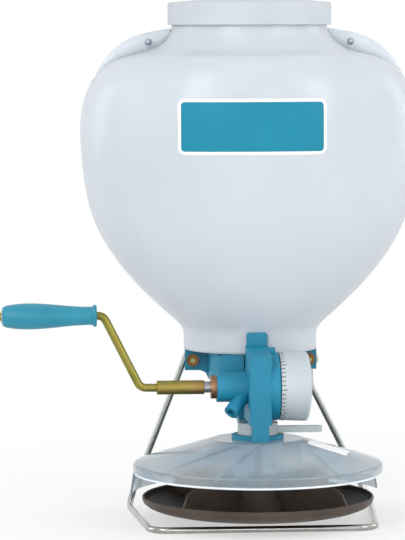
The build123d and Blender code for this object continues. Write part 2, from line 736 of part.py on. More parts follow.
dial_washer = tube(DIAL_WASHER_R, washer_hole_r, (washer_x, 0, AXIS_Z), (washer_front, 0, AXIS_Z))
dial_head_x = washer_front + SEAT_GAP
dial_head_end = dial_head_x + SCREW_HEAD
dial_screw = cylinder(DIAL_SCREW_R, (dial_screw_x + FACE_GAP, 0, AXIS_Z), (dial_head_x, 0, AXIS_Z))
dial_screw += cylinder(SCREW_HEAD_R, (dial_head_x, 0, AXIS_Z), (dial_head_end, 0, AXIS_Z))
slot_low = AXIS_Z - SCREW_SLOT / 2
slot_high = AXIS_Z + SCREW_SLOT / 2
slot_x = dial_head_end - SCREW_SLOT
dial_screw -= slab(slot_x, dial_head_end, -SCREW_HEAD_R, SCREW_HEAD_R, slot_low, slot_high)

# Crank: shaft, flanged bush, sleeve, bent rod, pins, grip and push nut
sleeve_far_x = SLEEVE_END_X - SLEEVE_LENGTH
shaft_start_x = SLEEVE_END_X - SHAFT_IN_SLEEVE
rod_start_x = shaft_start_x - 2 * FACE_GAP
step_x = rod_start_x + FACE_GAP
bush_front_x = TUBE_END_X - SEAT_GAP
bush_tip_x = bush_front_x - BUSH_FLANGE
bush_end_x = TUBE_END_X + BUSH_LENGTH
shaft = cylinder(SHAFT_R, (shaft_start_x, 0, AXIS_Z), (shaft_end_x, 0, AXIS_Z))
bush = turned_about_x(
    [
        (bush_tip_x, SHAFT_R + RUN_FIT),
        (bush_tip_x, BUSH_FLANGE_R),
        (bush_front_x, BUSH_FLANGE_R),
        (bush_front_x, BUSH_R),
        (bush_end_x, BUSH_R),
        (bush_end_x, SHAFT_R + RUN_FIT),
    ]
)
sleeve = turned_about_x(
    [
        (SLEEVE_END_X, SHAFT_R + PRESS_FIT),
        (SLEEVE_END_X, SLEEVE_R - SLEEVE_EDGE),
        (SLEEVE_END_X - SLEEVE_EDGE, SLEEVE_R),
        (sleeve_far_x + SLEEVE_EDGE, SLEEVE_R),
        (sleeve_far_x, SLEEVE_R - SLEEVE_EDGE),
        (sleeve_far_x, ROD_R + PRESS_FIT),
        (step_x, ROD_R + PRESS_FIT),
        (step_x, SHAFT_R + PRESS_FIT),
    ]
)
grip_end_x = GRIP_START_X - GRIP_LENGTH
rod_end_x = grip_end_x - ROD_TAIL
arm_z = AXIS_Z + CRANK_THROW
rod_path = FilletPolyline(
    (rod_start_x, 0, AXIS_Z),
    (ARM_FOOT_X, 0, AXIS_Z),
    (ARM_HEAD_X, 0, arm_z),
    (rod_end_x, 0, arm_z),
    radius=ROD_BEND,
)
rod = sweep(Plane(origin=(rod_start_x, 0, AXIS_Z), z_dir=(-1, 0, 0)) * Circle(ROD_R), path=rod_path)
shaft_pin_x = SLEEVE_END_X - PIN_SETBACK
rod_pin_x = sleeve_far_x + PIN_SETBACK
crank_pins = []
for x in (shaft_pin_x, rod_pin_x):
    hole = cylinder(PIN_R + PRESS_FIT, (x, 0, AXIS_Z - SLEEVE_R), (x, 0, AXIS_Z + SLEEVE_R))
    shaft -= hole
    sleeve -= hole
    rod -= hole
    crank_pins.append(cylinder(PIN_R, (x, 0, AXIS_Z - SLEEVE_R), (x, 0, AXIS_Z + SLEEVE_R)))
gear_pin_x = (crown_back + crown_hub_back) / 2
gear_pin_ends = ((gear_pin_x, 0, AXIS_Z - CROWN_HUB_R), (gear_pin_x, 0, AXIS_Z + CROWN_HUB_R))
gear_pin_hole = cylinder(PIN_R / 2 + PRESS_FIT, *gear_pin_ends)
shaft -= gear_pin_hole
crown -= gear_pin_hole
gear_pin = cylinder(PIN_R / 2, *gear_pin_ends)
grip_bore = ROD_R + RUN_FIT
grip_edge = Spline(
    (GRIP_START_X - GRIP_LIP, GRIP_WAIST_R),
    (GRIP_START_X - GRIP_LENGTH * 0.2, GRIP_WAIST_R + GRIP_COLLAR * 0.2),
    (GRIP_START_X - GRIP_LENGTH * 0.6, GRIP_MAX_R),
    (grip_end_x + GRIP_LIP * 0.6, GRIP_END_R),
)
grip_ends = Polyline(
    (grip_end_x + GRIP_LIP * 0.6, GRIP_END_R),
    (grip_end_x, GRIP_END_R - GRIP_COLLAR),
    (grip_end_x, grip_bore),
    (GRIP_START_X, grip_bore),
    (GRIP_START_X, GRIP_WAIST_R + GRIP_COLLAR * 0.6),
    (GRIP_START_X - GRIP_LIP * 0.2, GRIP_WAIST_R + GRIP_COLLAR),
    (GRIP_START_X - GRIP_LIP * 0.6, GRIP_WAIST_R + GRIP_COLLAR),
    (GRIP_START_X - GRIP_LIP, GRIP_WAIST_R),
)
grip = Pos(0, 0, arm_z) * revolve(Plane.XZ * make_face([grip_edge, grip_ends]), Axis.X, 360)
nut_x = grip_end_x - SEAT_GAP
push_nut = tube(PUSH_NUT_R, ROD_R + PRESS_FIT, (nut_x - PUSH_NUT, 0, arm_z), (nut_x, 0, arm_z))

# Lower bearing: bushes, bolted flange and the rotary shutter with its lever
bush_low_z = COVER_TOP + SEAT_GAP
bush_hole_r = SPINDLE_BUSH_R + PRESS_FIT
lower_flange = tube(LOWER_FLANGE_R, bush_hole_r, (0, 0, bush_low_z), (0, 0, lower_flange_top))
bush_high_z = CASE_BOTTOM + CASE_WALL - SPINDLE_BUSH_LENGTH
spindle_bushes = []
for z in (bush_low_z, bush_high_z):
    spindle_bushes.append(
        tube(SPINDLE_BUSH_R, SPINDLE_R + RUN_FIT, (0, 0, z), (0, 0, z + SPINDLE_BUSH_LENGTH))
    )
plate_top = PORT_BOTTOM - FACE_GAP
plate_low = plate_top - SHUTTER_PLATE
hub_low = (0, 0, lower_flange_top + FACE_GAP)
hub_high = (0, 0, CASE_BOTTOM - FACE_GAP)
plate_half = PORT_HALF_X + SHUTTER_OVERLAP
shutter = slab(-plate_half, plate_half, 0, SHUTTER_REACH, plate_low, plate_top)
lever_half = LEVER_WIDTH / 2
lever_tip_x = LEVER_REACH - lever_half
lever_low = plate_top - LEVER_THICKNESS
shutter += slab(0, lever_tip_x, -lever_half, lever_half, lever_low, plate_top)
shutter += cylinder(lever_half, (lever_tip_x, 0, lever_low), (lever_tip_x, 0, plate_top))
shutter += cylinder(SHUTTER_HUB_R, hub_low, hub_high)
shutter -= cylinder(BEARING_R + FACE_GAP, (0, 0, COVER_TOP), (0, 0, CASE_BOTTOM))

# Agitator: shaft, bush and a four-bladed paddle inside the chute
agitator_front_y = crown_pitch_r * small_end - SHAFT_TIP
agitator_rear_y = CHUTE_Y + CHUTE_HALF_Y - SHAFT_TIP
paddle_front_y = chute_inside_y + PADDLE_PLAY
paddle_rear_y = agitator_rear_y - SHAFT_TIP / 2
agitator_shaft = cylinder(AGITATOR_R, (0, agitator_front_y, AXIS_Z), (0, agitator_rear_y, AXIS_Z))
agitator_bush = tube(
    AGITATOR_BUSH_R, AGITATOR_R + RUN_FIT,
    (0, mount_head_y, AXIS_Z), (0, chute_inside_y, AXIS_Z),
)
paddle = cylinder(AGITATOR_R + PADDLE_HUB, (0, paddle_front_y, AXIS_Z), (0, paddle_rear_y, AXIS_Z))
blade = PADDLE_BLADE / 2
paddle += slab(-PADDLE_R, PADDLE_R, paddle_front_y, paddle_rear_y, AXIS_Z - blade, AXIS_Z + blade)
paddle += slab(-blade, blade, paddle_front_y, paddle_rear_y, AXIS_Z - PADDLE_R, AXIS_Z + PADDLE_R)
paddle -= cylinder(AGITATOR_R + PRESS_FIT, (0, paddle_front_y, AXIS_Z), (0, paddle_rear_y, AXIS_Z))

# Spinner: spindle, vaned dish with a hollow hub, drive pin, nut and the clip under the lower bush
pocket_top = SPINNER_BOTTOM + NUT_POCKET
nut_top = pocket_top - SEAT_GAP
spindle_top = AXIS_Z - crown_pitch_r * small_end + SHAFT_TIP
spindle = cylinder(SPINDLE_R, (0, 0, nut_top - SPINNER_NUT + FACE_GAP), (0, 0, spindle_top))
floor_top = SPINNER_BOTTOM + SPINNER_WALL
hub_bore = SPINDLE_R + PRESS_FIT
hub_inner = HUB_R - SPINNER_WALL
step_inner = HUB_STEP_R - SPINNER_WALL


def dish_curve(inset):
    points = []
    for i in range(DISH_STEPS + 1):
        turn = radians(90 * i / DISH_STEPS)
        r = SPINNER_FLAT_R + (SPINNER_R - SPINNER_FLAT_R) * sin(turn) - inset * sin(turn)
        points.append((r, SPINNER_BOTTOM + DISH_RISE * (1 - cos(turn)) + inset * cos(turn)))
    return points


spinner = turned_about_z(
    [
        (hub_bore, pocket_top),
        (HUB_BOSS_R, pocket_top),
        (HUB_BOSS_R, HUB_TOP - SPINNER_WALL),
        (hub_inner, HUB_TOP - SPINNER_WALL),
        (hub_inner, HUB_STEP_Z - SPINNER_WALL),
        (step_inner, HUB_STEP_Z - SPINNER_WALL),
        (step_inner, SPINNER_BOTTOM),
    ]
    + dish_curve(0)
    + [
        (SPINNER_R, SPINNER_RIM_Z - SPINNER_EDGE),
        (SPINNER_R - SPINNER_EDGE, SPINNER_RIM_Z),
        (SPINNER_R - SPINNER_WALL, SPINNER_RIM_Z - SPINNER_EDGE),
    ]
    + dish_curve(SPINNER_WALL)[::-1]
    + [
        (HUB_STEP_R, floor_top),
        (HUB_STEP_R, HUB_STEP_Z),
        (HUB_R + SPINNER_EDGE, HUB_STEP_Z),
        (HUB_R, HUB_TOP - SPINNER_EDGE),
        (HUB_R - SPINNER_EDGE, HUB_TOP),
        (hub_bore, HUB_TOP),
    ]
)
vane_profile = [(HUB_STEP_R - 1, SPINNER_BOTTOM + 1)] + dish_curve(1) + [
    (SPINNER_R - 1, SPINNER_RIM_Z - SPINNER_WALL),
    (VANE_TIP_R, VANE_TIP_Z),
    (VANE_TIP_R - VANE_ROUND, VANE_TOP),
    (HUB_R + VANE_TOE, VANE_TOP),
    (HUB_R - 1, HUB_TOP - 1),
    (HUB_R - 1, HUB_STEP_Z - 1),
    (HUB_STEP_R - 1, HUB_STEP_Z - 1),
]
vane_plane = Plane(origin=(0, VANE_THICKNESS / 2, 0), x_dir=(1, 0, 0), z_dir=(0, -1, 0))
vane = extrude(vane_plane * make_face(Polyline(*vane_profile, close=True)), VANE_THICKNESS)
for i in range(VANES):
    spinner += Rot(0, 0, FIRST_VANE + 360 * i / VANES) * vane
pin_z = (nut_top + HUB_TOP) / 2
spinner_pin_ends = ((-HUB_BOSS_R, 0, pin_z), (HUB_BOSS_R, 0, pin_z))
spinner -= cylinder(PIN_R + PRESS_FIT, *spinner_pin_ends)
spindle -= cylinder(PIN_R + PRESS_FIT, *spinner_pin_ends)
spinner_pin = cylinder(PIN_R, *spinner_pin_ends)
spinner_nut = extrude(Pos(0, 0, nut_top - SPINNER_NUT) * RegularPolygon(SPINNER_NUT_R, 6), SPINNER_NUT)
spinner_nut -= cylinder(SPINDLE_R + PRESS_FIT, (0, 0, 0), (0, 0, nut_top))
clip_top = COVER_TOP - COVER_WALL - FACE_GAP
spindle_clip = tube(CLIP_R, SPINDLE_R + PRESS_FIT, (0, 0, clip_top - CLIP), (0, 0, clip_top))

# Spinner cover: shallow ribbed cone with a lip, a rear guard wall and the feed hole
rim_shoulder_r = COVER_R - COVER_WALL
spindle_hole_r = SPINDLE_BUSH_R + PART_ROOM / 2
cover = turned_about_z(
    [
        (spindle_hole_r, COVER_TOP - COVER_WALL),
        (spindle_hole_r, COVER_TOP),
        (COVER_FLAT_R, COVER_TOP),
        (rim_shoulder_r, COVER_RIM_Z),
        (COVER_R, COVER_RIM_Z - COVER_WALL),
        (COVER_R, COVER_LIP_Z),
        (rim_shoulder_r, COVER_LIP_Z),
        (rim_shoulder_r, COVER_RIM_Z - COVER_WALL),
        (COVER_FLAT_R, COVER_TOP - COVER_WALL),
    ]
)
guard = turned_about_z(
    [
        (rim_shoulder_r, COVER_LIP_Z + 1),
        (COVER_R, COVER_LIP_Z + 1),
        (COVER_R + GUARD_FLARE, GUARD_BOTTOM),
        (rim_shoulder_r + GUARD_FLARE, GUARD_BOTTOM),
    ],
    GUARD_TO - GUARD_FROM,
)
cover += Rot(0, 0, GUARD_FROM) * guard
rib_top = COVER_TOP - COVER_WALL
rib_rim = COVER_RIM_Z - COVER_WALL
rib_zone = turned_about_z(
    [
        (COVER_FLAT_R, rib_top + 0.5),
        (rim_shoulder_r + 0.5, rib_rim + FACE_GAP),
        (rim_shoulder_r + 0.5, rib_rim - COVER_RIB_HEIGHT),
        (COVER_FLAT_R, rib_top - COVER_RIB_HEIGHT),
    ]
)
rib_bar = slab(0, COVER_R, -VANE_THICKNESS / 2, VANE_THICKNESS / 2, 0, COVER_R)
for i in range(COVER_RIBS):
    spot = Rot(0, 0, 360 * i / COVER_RIBS) * Pos(COVER_FLAT_R, 0, 0) * Rot(0, 0, COVER_RIB_SWEEP)
    cover += spot * rib_bar & rib_zone
feed_front = chute_inside_y - FEED_PLAY
feed_rear = chute_inside_y + 2 * PORT_HALF_Y + FEED_PLAY
feed_half_x = PORT_HALF_X + FEED_PLAY
cover -= slab(-feed_half_x, feed_half_x, feed_front, feed_rear, COVER_LIP_Z, COVER_TOP + 1)

# Screws from below through the cover: three into the bearing spigot, one into the foot
spigot_screw_r = (SPINDLE_BUSH_R + BEARING_R) / 2
cover_screw_spots = [(0, CASE_FRONT_Y + FOOT_DEPTH / 2)]
for i in range(3):
    angle = radians(30 + 120 * i)
    cover_screw_spots.append((spigot_screw_r * cos(angle), spigot_screw_r * sin(angle)))
cover_head_z = COVER_TOP - COVER_WALL - SEAT_GAP
cover_screw_top = spigot_bottom + COVER_SCREW_DEPTH
cover_screws = []
for x, y in cover_screw_spots:
    cover -= cylinder(M3_R + FACE_GAP, (x, y, COVER_LIP_Z), (x, y, COVER_TOP + 1))
    lower_flange -= cylinder(M3_R + FACE_GAP, (x, y, COVER_TOP), (x, y, lower_flange_top + 1))
    case -= cylinder(M3_R + PRESS_FIT, (x, y, COVER_TOP), (x, y, cover_screw_top + 0.5))
    screw = cylinder(M3_R, (x, y, cover_head_z), (x, y, cover_screw_top))
    screw += cylinder(M3_HEAD_R, (x, y, cover_head_z - M3_HEAD), (x, y, cover_head_z))
    cover_screws.append(screw)

# Stand: one bent wire with an eye at each end, clamped behind the ears
floor_z = WIRE_R
left_rear = Vector(-REAR_X, REAR_Y, floor_z)
left_eye = Vector(-BOLT_X, wire_y, BOLT_Z)
lean = hypot(REAR_X - BOLT_X - EYE_BEND_R, BOLT_Z)
leg_x = (REAR_X - BOLT_X - EYE_BEND_R) / lean
leg_z = BOLT_Z / lean
left_top = left_eye + Vector(-EYE_BEND_R * leg_z, 0, EYE_BEND_R * leg_x)
left_kink = left_top + Vector(-leg_x, 0, -leg_z) * LEFT_KINK
left_far = left_eye + Vector(EYE_BEND_R * leg_x, 0, EYE_BEND_R * leg_z)
left_stop = left_eye + Vector(EYE_BEND_R * leg_z, 0, -EYE_BEND_R * leg_x)
right_eye = Vector(BOLT_X, wire_y, BOLT_Z)
bend_drop = ((EYE_BEND_R + NECK_BEND) ** 2 - (LEG_OFFSET + NECK_BEND) ** 2) ** 0.5
bend_center = right_eye + Vector(LEG_OFFSET + NECK_BEND, 0, -bend_drop)
right_low = bend_center + Vector(-NECK_BEND, 0, 0)
right_join = right_eye + (bend_center - right_eye) * (EYE_BEND_R / (EYE_BEND_R + NECK_BEND))
join_angle = atan2(-bend_drop, LEG_OFFSET + NECK_BEND)
bend_mid_angle = (pi + (join_angle + pi)) / 2
bend_mid = bend_center + Vector(cos(bend_mid_angle), 0, sin(bend_mid_angle)) * NECK_BEND
mid_angle = join_angle + radians(RIGHT_WRAP / 2)
stop_angle = join_angle + radians(RIGHT_WRAP)
right_mid = right_eye + Vector(cos(mid_angle), 0, sin(mid_angle)) * EYE_BEND_R
right_stop = right_eye + Vector(cos(stop_angle), 0, sin(stop_angle)) * EYE_BEND_R
right_kink = right_low - Vector(0, 0, RIGHT_KINK)
floor_loop = FilletPolyline(
    left_top,
    left_kink,
    left_rear,
    (-STAND_FRONT_X, STAND_FRONT_Y, floor_z),
    (STAND_FRONT_X, STAND_FRONT_Y, floor_z),
    (REAR_X, REAR_Y, floor_z),
    right_kink,
    right_low,
    radius=[KINK_BEND, CORNER_BEND, CORNER_BEND, CORNER_BEND, CORNER_BEND, LEG_BEND],
)
wire_path = Curve() + [
    ThreePointArc(left_stop, left_far, left_top),
    floor_loop,
    ThreePointArc(right_low, bend_mid, right_join),
    ThreePointArc(right_join, right_mid, right_stop),
]
wire_plane = Plane(origin=left_stop, z_dir=wire_path.wire().tangent_at(0))
stand = sweep(wire_plane * Circle(WIRE_R), path=wire_path)

# Stand bolts, washers and nuts
ear_washer_y = EAR_FRONT_Y - SEAT_GAP - WASHER
head_rear = ear_washer_y - SEAT_GAP
washer_rear = wire_y + WIRE_R + SEAT_GAP
nut_front = washer_rear + WASHER + SEAT_GAP
nut_rear = nut_front + M6_NUT
bolt = Pos(BOLT_X, 0, BOLT_Z) * hexagon_along_y(M6_HEAD_R, head_rear - M6_HEAD, head_rear)
bolt += cylinder(M6_R, (BOLT_X, head_rear, BOLT_Z), (BOLT_X, nut_rear + WASHER, BOLT_Z))
stand_nut = Pos(BOLT_X, 0, BOLT_Z) * hexagon_along_y(M6_HEAD_R, nut_front, nut_rear)
stand_nut -= cylinder(M6_R + PRESS_FIT, (BOLT_X, nut_front, BOLT_Z), (BOLT_X, nut_rear, BOLT_Z))
washers = []
for y in (ear_washer_y, washer_rear):
    ring = tube(M6_WASHER_R, M6_R + FACE_GAP, (BOLT_X, y, BOLT_Z), (BOLT_X, y + WASHER, BOLT_Z))
    washers += both_sides(ring)

save("hopper_shell", hopper)
save("hopper_lid", lid)
save("strap_studs", *both_sides(stud))
save("hopper_base", base)
save("gear_case", case)
save("case_cover", cap)
save("case_cover_screws", *cap_screws)
save("case_mount_screws", *mount_screws)
save("drive_gear", crown)
save("gear_pin", gear_pin)
save("spinner_pinion", spindle_pinion)
save("agitator_pinion", agitator_pinion)
save("agitator_shaft", agitator_shaft)
save("agitator_bush", agitator_bush)
save("agitator_paddle", paddle)
save("flow_dial", dial)
save("dial_washer", dial_washer)
save("dial_screw", dial_screw)
save("crank_shaft", shaft)
save("crank_bush", bush)
save("crank_sleeve", sleeve)
save("crank_rod", rod)
save("crank_pins", *crank_pins)
save("crank_grip", grip)
save("grip_push_nut", push_nut)
save("lower_flange", lower_flange)
save("spinner_bushes", *spindle_bushes)
save("shutter", shutter)
save("spinner_shaft", spindle)
save("spinner_disc", spinner)
save("spinner_pin", spinner_pin)
save("spinner_nut", spinner_nut)
save("spinner_clip", spindle_clip)
save("spinner_cover", cover)
save("cover_screws", *cover_screws)
save("stand_wire", stand)
save("stand_bolts", *both_sides(bolt))
save("stand_nuts", *both_sides(stand_nut))
save("stand_washers", *washers)
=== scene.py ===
from math import acos, cos, exp, pi, radians, sin, sqrt

import bmesh
import bpy
import numpy as np
from mathutils import Matrix, Vector


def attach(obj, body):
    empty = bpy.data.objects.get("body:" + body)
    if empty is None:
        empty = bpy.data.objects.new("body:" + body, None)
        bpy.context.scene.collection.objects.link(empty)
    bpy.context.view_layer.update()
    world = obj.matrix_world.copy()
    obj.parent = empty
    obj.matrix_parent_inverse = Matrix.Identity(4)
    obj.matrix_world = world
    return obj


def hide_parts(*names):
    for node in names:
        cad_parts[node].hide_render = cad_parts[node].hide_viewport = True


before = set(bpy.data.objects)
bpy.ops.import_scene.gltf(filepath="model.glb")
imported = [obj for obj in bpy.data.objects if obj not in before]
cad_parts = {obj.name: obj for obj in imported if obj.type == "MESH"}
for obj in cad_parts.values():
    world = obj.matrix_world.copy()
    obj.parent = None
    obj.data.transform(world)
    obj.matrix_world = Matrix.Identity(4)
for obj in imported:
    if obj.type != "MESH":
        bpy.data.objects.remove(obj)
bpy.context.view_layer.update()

# Looks of a hand-cranked granule spreader. Metres, in the CAD frame: +X is the dial side,
# -X the crank side, -Y the front and +Z up.

# Camera that fits the photograph, whose height is in pixels
PHOTO_HEIGHT = 540
FOCAL_PIXELS = 3033
SENSOR = 36.0
CAMERA_AT = Vector((-0.2876, -3.2254, 0.525))
CAMERA_TO = Vector((-0.05456, 0.06141, 0.26768))
CAMERA_ROLL = radians(-0.2)
CLIP_END = 200.0

# Main axes
AXIS_Z = 0.1465
NECK_Y = 0.092

# Hopper
NECK_R = 0.073
NECK_BOTTOM = 0.179
NECK_TOP = 0.203
HALF_WIDTH = 0.184
FRONT = 0.122
REAR = 0.084
WALL = 0.0024
WIDEST_Z = 0.389
DECK_Z = 0.530
MOUTH_R = 0.084
MOUTH_TOP = 0.5554
BELLY = ((0.432, 0.237), (0.901, 0.667))
SHOULDER = ((0.91, 0.433), (0.68, 0.255), (0.31, 0.177), (0.08, 0.092))
LOBE_VALLEY = 0.075
VALLEY_AT = 0.66
VALLEY_SPREAD = 0.15
REAR_HOLLOW = 0.20
HOLLOW_SPREAD = 0.42
SEAM_RISE = 0.0004
SEAM_HALF = 0.0011
SEAM_OFFSETS = (0.2, 0.45, 0.75, 1.1)
AROUND_STEPS = 240
BODY_STEPS = 120
NECK_STEPS = 10
MOUTH_STEPS = 8
SMOOTHING = 6

# Strap tabs
STRAP_X = 0.111
STRAP_Z = 0.5155
TAB_THICKNESS = 0.005
TAB_REACH = 0.063
TAB_DROP = 0.0465
TAB_RISE = 0.015
TAB_SINK = 0.0015
TAB_ROUND = 0.0016
TAB_STEPS = 56

# Bare label place on the hopper's front
LABEL_Z = 0.4260
LABEL_X = -0.0066
LABEL_WIDTH = 0.1516
LABEL_HEIGHT = 0.0525
LABEL_CORNER = 0.0040
LABEL_BORDER = 0.0034
FILM = 0.00025

# Flow dial
DIAL_START_X = 0.023
DIAL_RIM_X = 0.0505
DIAL_R = 0.0375
DIAL_TAPER = 0.0012
DIAL_TICKS = 48
LONG_TICK_EVERY = 6
TICK_LENGTH = 0.0042
LONG_TICK = 0.0058
TICK_HALF = 0.00074
TICK_RISE = 0.00016

# Stand bolts
BOLT_X = 0.0642
BOLT_Z = 0.1665
BOLT_RING_R = 0.0060

# Spinner cover and its blank sticker
COVER_TOP = 0.091
COVER_FLAT_R = 0.048
COVER_SHOULDER_R = 0.1318
COVER_RIM_Z = 0.0655
LIP_R = 0.1329
LIP_Z = 0.0553
LIP_BEAD_R = 0.00135
LIP_STEPS = 160
LIP_SIDES = 12
LIP_TIP = 0.25
LIP_TIP_STEPS = 6
LIP_START = radians(182.0)
LIP_END = radians(373.0)
STICKER_ANGLE = radians(-13.0)
STICKER_R = 0.0765
STICKER_LENGTH = 0.042
STICKER_WIDTH = 0.034
STICKER_CORNER = 0.003

# Rounding of the CAD pieces' sharp corners
FLAT_ANGLE = radians(0.3)
CORNER_ANGLE = radians(40)
BEVEL_STEPS = 3
BEVELS = {
    "hopper_base": 0.0008, "gear_case": 0.0009, "case_cover": 0.0007, "shutter": 0.0007,
    "lower_flange": 0.0007, "flow_dial": 0.0006, "hopper_lid": 0.0010,
}

# Finishes: the useful range of a noise, and the depth of the fine grain
NOISE_LOW = 0.3
NOISE_HIGH = 0.7
PLASTIC_BUMP = 0.35
PLASTIC_GRAIN = 0.00004
METAL_BUMP = 0.2
METAL_GRAIN = 0.00003

# Studio: world level, floor, and the lamps' places, targets, sizes and watts
WORLD_LEVEL = 0.72
FLOOR_HALF = 60.0
FLOOR_GREY = 0.88
SHADOW_NEAR = 0.2
SHADOW_FAR = 0.8
SHADOW_GLOW = 0.55
MIDDLE = (0, 0.05, 0.32)
LAMPS = {
    "key": ((-1.1, -1.7, 1.35), MIDDLE, (0.9, 1.1), 15.0),
    "fill": ((1.5, -1.6, 1.1), MIDDLE, (0.9, 1.1), 12.0),
    "top": ((0.1, 0.5, 2.2), MIDDLE, (1.4, 1.4), 4.0),
    "front": ((-0.2, -2.7, 0.30), (0, 0, 0.20), (1.2, 0.8), 6.0),
    "left_side": ((-1.9, 0.5, 0.8), MIDDLE, (0.8, 1.2), 7.0),
    "right_side": ((1.9, 0.5, 0.8), MIDDLE, (0.8, 1.2), 7.0),
}


def srgb(red, green, blue):
    linear = []
    for value in (red, green, blue):
        share = value / 255
        linear.append(share / 12.92 if share <= 0.04045 else ((share + 0.055) / 1.055) ** 2.4)
    return (*linear, 1.0)


class Finish:
    """A procedural material around one Principled shader."""

    def __init__(self, name):
        self.material = bpy.data.materials.new(name)
        self.material.use_nodes = True
        self.tree = self.material.node_tree
        self.shader = self.tree.nodes["Principled BSDF"]
        self.coordinates = self.tree.nodes.new("ShaderNodeTexCoord").outputs["Object"]

    def set(self, **values):
        for name, value in values.items():
            self.shader.inputs[name.replace("_", " ")].default_value = value
        return self

    def noise(self, scale, detail=3.0, stretch=(1, 1, 1)):
        mapping = self.tree.nodes.new("ShaderNodeMapping")
        mapping.inputs["Scale"].default_value = stretch
        node = self.tree.nodes.new("ShaderNodeTexNoise")
        node.inputs["Scale"].default_value = scale
        node.inputs["Detail"].default_value = detail
        self.tree.links.new(self.coordinates, mapping.inputs["Vector"])
        self.tree.links.new(mapping.outputs["Vector"], node.inputs["Vector"])
        return node.outputs["Fac"]

    def ramp(self, source, stops):
        node = self.tree.nodes.new("ShaderNodeValToRGB")
        elements = node.color_ramp.elements
        while len(elements) < len(stops):
            elements.new(0.5)
        for element, (place, colour) in zip(elements, stops):
            element.position = place
            element.color = colour
        self.tree.links.new(source, node.inputs["Fac"])
        return node.outputs["Color"]

    def spread(self, source, low, high):
        node = self.tree.nodes.new("ShaderNodeMapRange")
        node.inputs["From Min"].default_value = NOISE_LOW
        node.inputs["From Max"].default_value = NOISE_HIGH
        node.inputs["To Min"].default_value = low
        node.inputs["To Max"].default_value = high
        self.tree.links.new(source, node.inputs["Value"])
        return node.outputs["Result"]

    def vector(self, operation, source, value=(0, 0, 0), output="Vector"):
        node = self.tree.nodes.new("ShaderNodeVectorMath")
        node.operation = operation
        node.inputs[1].default_value = value
        self.tree.links.new(source, node.inputs[0])
        return node.outputs[output]

    def link(self, source, name):
        self.tree.links.new(source, self.shader.inputs[name])
        return self

    def bump(self, height, strength, distance):
        node = self.tree.nodes.new("ShaderNodeBump")
        node.inputs["Strength"].default_value = strength
        node.inputs["Distance"].default_value = distance
        self.tree.links.new(height, node.inputs["Height"])
        self.tree.links.new(node.outputs["Normal"], self.shader.inputs["Normal"])
        return self


def between(dark, light):
    """Colour stops for a finish that clouds between two colours."""
    return [(NOISE_LOW, dark), (NOISE_HIGH, light)]


def plastic(name, dark, light, rough_low, rough_high, cloud=22.0, grain=1400.0):
    finish = Finish(name)
    finish.link(finish.ramp(finish.noise(cloud), between(dark, light)), "Base Color")
    finish.link(finish.spread(finish.noise(cloud * 4), rough_low, rough_high), "Roughness")
    finish.bump(finish.noise(grain, 2.0), PLASTIC_BUMP, PLASTIC_GRAIN)
    return finish


def metal(name, stops, rough_low, rough_high, stretch=(1, 1, 1), cloud=60.0):
    finish = Finish(name)
    finish.set(Metallic=1.0)
    finish.link(finish.ramp(finish.noise(cloud, 4.0), stops), "Base Color")
    finish.link(finish.spread(finish.noise(cloud * 3, 3.0, stretch), rough_low, rough_high), "Roughness")
    finish.bump(finish.noise(cloud * 12, 2.0, stretch), METAL_BUMP, METAL_GRAIN)
    return finish


TEAL = plastic("teal_moulding", srgb(14, 122, 152), srgb(24, 133, 166), 0.42, 0.54)
TEAL.set(IOR=1.46)
GRIP = plastic("grip_plastic", srgb(20, 128, 153), srgb(34, 139, 165), 0.36, 0.46)
LID = plastic("lid_plastic", srgb(190, 196, 203), srgb(200, 206, 213), 0.42, 0.54, cloud=14.0)
LID.set(Specular_IOR_Level=0.12)
DIAL = plastic("dial_plastic", srgb(183, 193, 198), srgb(195, 204, 209), 0.42, 0.52)
NATURAL = plastic("natural_plastic", srgb(188, 200, 203), srgb(206, 216, 219), 0.36, 0.5)
NATURAL.set(Transmission_Weight=0.35, IOR=1.35)
BLACK = plastic("spinner_plastic", srgb(66, 56, 48), srgb(82, 70, 61), 0.42, 0.56, cloud=30.0)
BLACK.set(Specular_IOR_Level=0.3)
ACETAL = plastic("gear_acetal", srgb(222, 220, 208), srgb(236, 234, 224), 0.32, 0.42)
PAPER = plastic("sticker_film", srgb(236, 238, 240), srgb(246, 247, 248), 0.38, 0.48, cloud=40.0)
# Cover's rolled lip: the bead is real, but its near-white opaque finish, brighter than the cover's own
# translucent plastic, is a painted highlight along the rim's edge
LIP_AND_HIGHLIGHT = plastic("lip_plastic_and_highlight", srgb(232, 238, 242), srgb(242, 246, 249), 0.26, 0.36, cloud=30.0)
INK = plastic("dial_ink", srgb(112, 113, 112), srgb(134, 135, 133), 0.45, 0.6)
LABEL = plastic("label_film", srgb(6, 128, 155), srgb(12, 134, 161), 0.44, 0.54, cloud=30.0, grain=2600.0)
LABEL.set(Specular_IOR_Level=0.3)

ZINC_STOPS = [
    (0.28, srgb(106, 108, 52)),
    (0.44, srgb(144, 138, 66)),
    (0.58, srgb(154, 134, 78)),
    (0.74, srgb(130, 92, 58)),
]
ZINC = metal("yellow_zinc", ZINC_STOPS, 0.38, 0.50, cloud=26.0)
BROWN_STOPS = between(srgb(106, 78, 50), srgb(136, 104, 68))
BOLT = metal("bolt_zinc", BROWN_STOPS, 0.32, 0.46, cloud=160.0)
WIRE = metal("bright_wire", between(srgb(156, 160, 155), srgb(180, 182, 176)), 0.16, 0.26)
STEEL = metal("ground_steel", between(srgb(150, 152, 154), srgb(182, 184, 186)), 0.22, 0.34, (1, 12, 12))
STUD = metal("nickel_stud", between(srgb(150, 156, 166), srgb(176, 182, 190)), 0.30, 0.44)
BRONZE = metal("oiled_bronze", between(srgb(142, 104, 78), srgb(176, 138, 104)), 0.34, 0.5, cloud=220.0)


